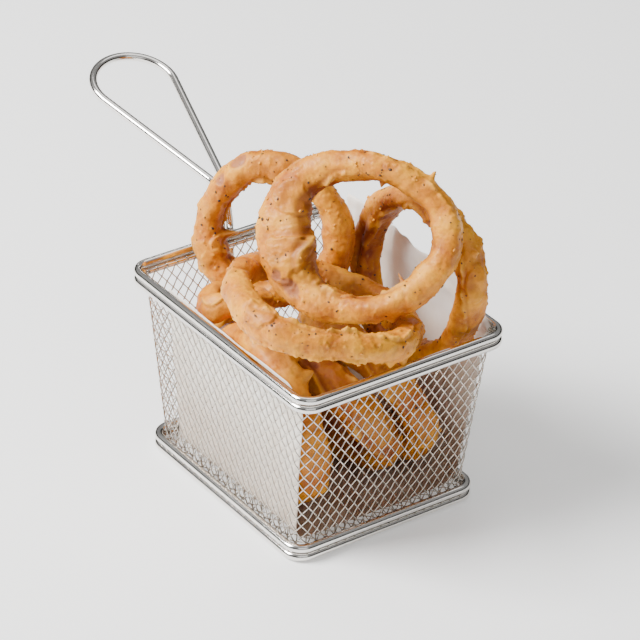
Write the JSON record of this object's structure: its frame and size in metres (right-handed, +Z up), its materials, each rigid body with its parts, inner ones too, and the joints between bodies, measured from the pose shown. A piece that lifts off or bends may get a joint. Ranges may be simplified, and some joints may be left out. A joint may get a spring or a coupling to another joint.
{
  "type": "onion rings side",
  "caption": "Battered onion rings heaped in a tapered wire-mesh serving basket with a paper liner and a teardrop wire handle.",
  "frame": {"origin": "on the surface the basket stands on, under the middle of the whole object's box", "axes": "+Y points along the handle, away from the basket; +Z is up; +X completes the frame, across the basket"},
  "size_m": [0.1155, 0.2371, 0.1641],
  "materials": {
    "polished_steel": "polished stainless steel rod and wire",
    "woven_wire": "woven stainless steel wire mesh",
    "paper": "thin translucent white greaseproof paper",
    "batter": "golden fried batter, bumpy, with black pepper specks"
  },
  "bodies": {
    "root": {"rim_rod_upper": "polished_steel", "rim_rod_lower": "polished_steel", "base_rod_upper": "polished_steel", "base_rod_lower": "polished_steel", "hem_wire": "polished_steel", "handle": "polished_steel", "mesh_basket": "woven_wire", "paper_liner": "paper", "ring_top_front": "batter", "ring_top_back": "batter", "ring_front_flat": "batter", "ring_right_tall": "batter", "ring_left_wall": "batter", "ring_middle_left": "batter", "ring_middle_right": "batter", "ring_back_wall": "batter", "ring_back_left": "batter"}
  },
  "joints": []
}
